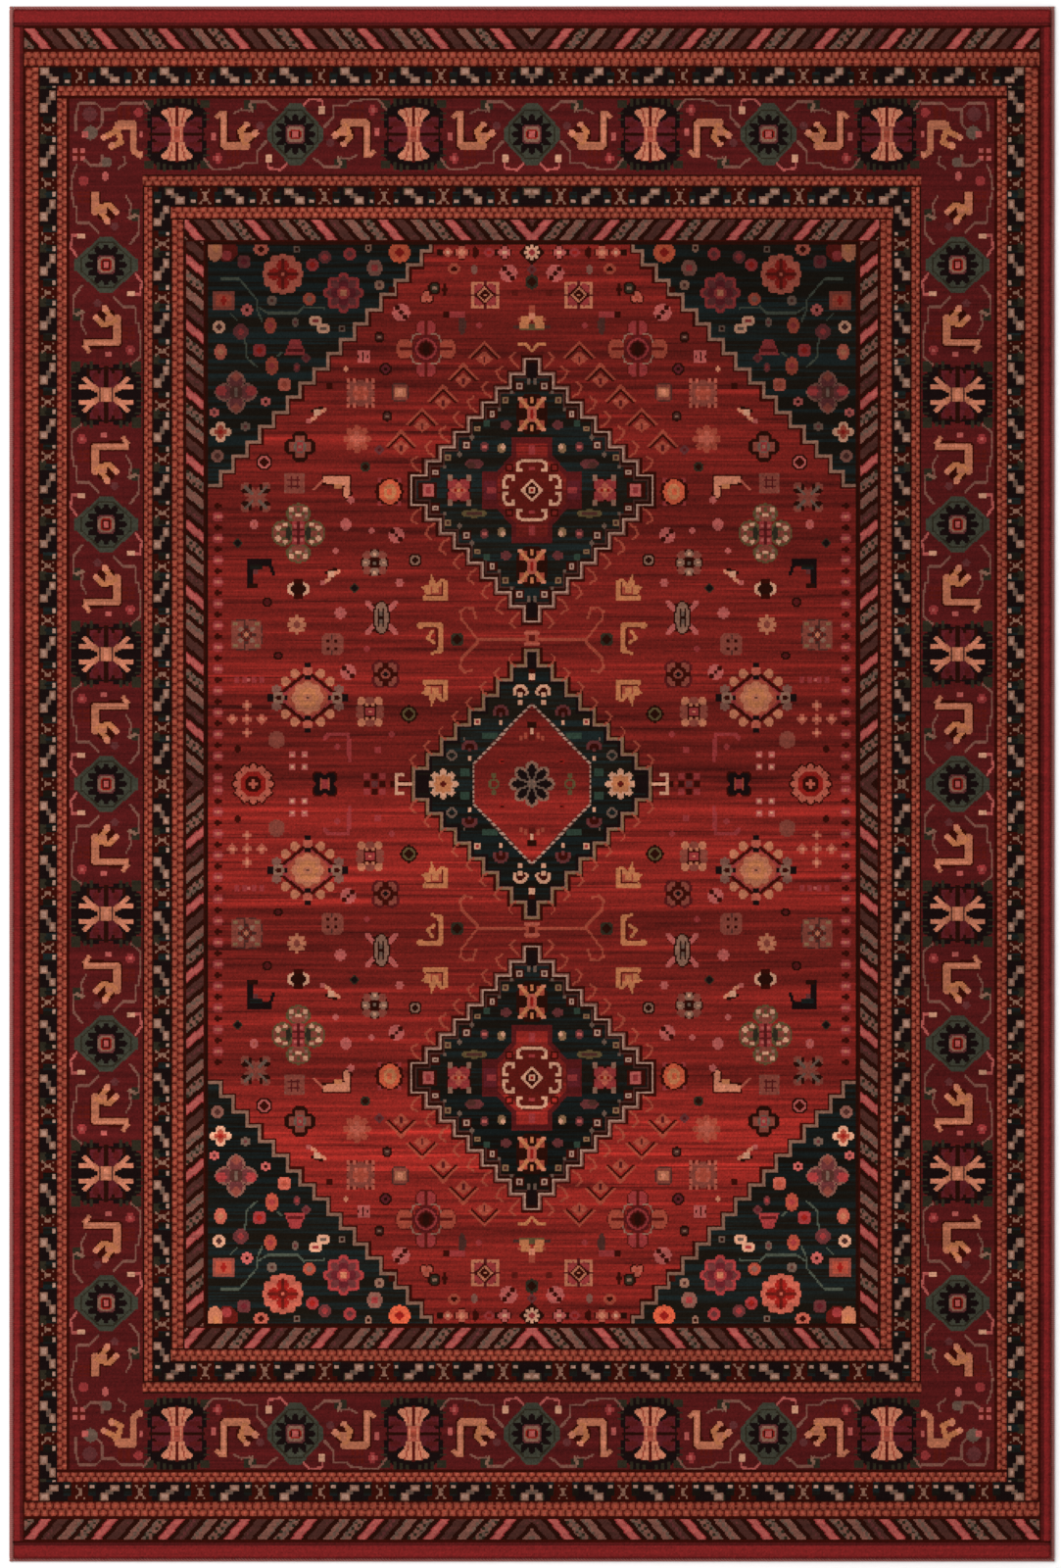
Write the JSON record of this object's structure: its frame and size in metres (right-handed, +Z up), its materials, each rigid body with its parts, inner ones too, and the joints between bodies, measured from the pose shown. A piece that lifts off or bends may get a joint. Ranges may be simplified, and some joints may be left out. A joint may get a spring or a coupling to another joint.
{
  "type": "area rug",
  "caption": "Flat oblong cut-pile rug with a woven ground, overcast long sides and taped short ends, lying face up on a floor.",
  "frame": {"origin": "on the floor, at the centre of the underside's outline", "axes": "+X across the rug, +Y along it towards the head end, +Z up out of the pile"},
  "size_m": [1.345, 2, 0.011],
  "materials": {
    "pile_wool": "cut wool pile in dark red, navy, teal, rose, gold and cream",
    "ground_weave": "ribbed jute and cotton ground weave, sized with latex",
    "selvedge_cord": "undyed plied cotton cord",
    "overcast_yarn": "red wrapped wool yarn",
    "end_tape": "dark red twill tape",
    "sewing_thread": "dark red polyester thread"
  },
  "bodies": {
    "root": {"wool_pile": "pile_wool", "ground_weave": "ground_weave", "selvedge_cord_right": "selvedge_cord", "selvedge_cord_left": "selvedge_cord", "overcasting_right": "overcast_yarn", "overcasting_left": "overcast_yarn", "end_tape_head": "end_tape", "end_tape_foot": "end_tape", "end_thread_head": "sewing_thread", "end_thread_foot": "sewing_thread", "corner_tack_head_right": "overcast_yarn", "corner_tack_head_left": "overcast_yarn", "corner_tack_foot_right": "overcast_yarn", "corner_tack_foot_left": "overcast_yarn"}
  },
  "joints": []
}
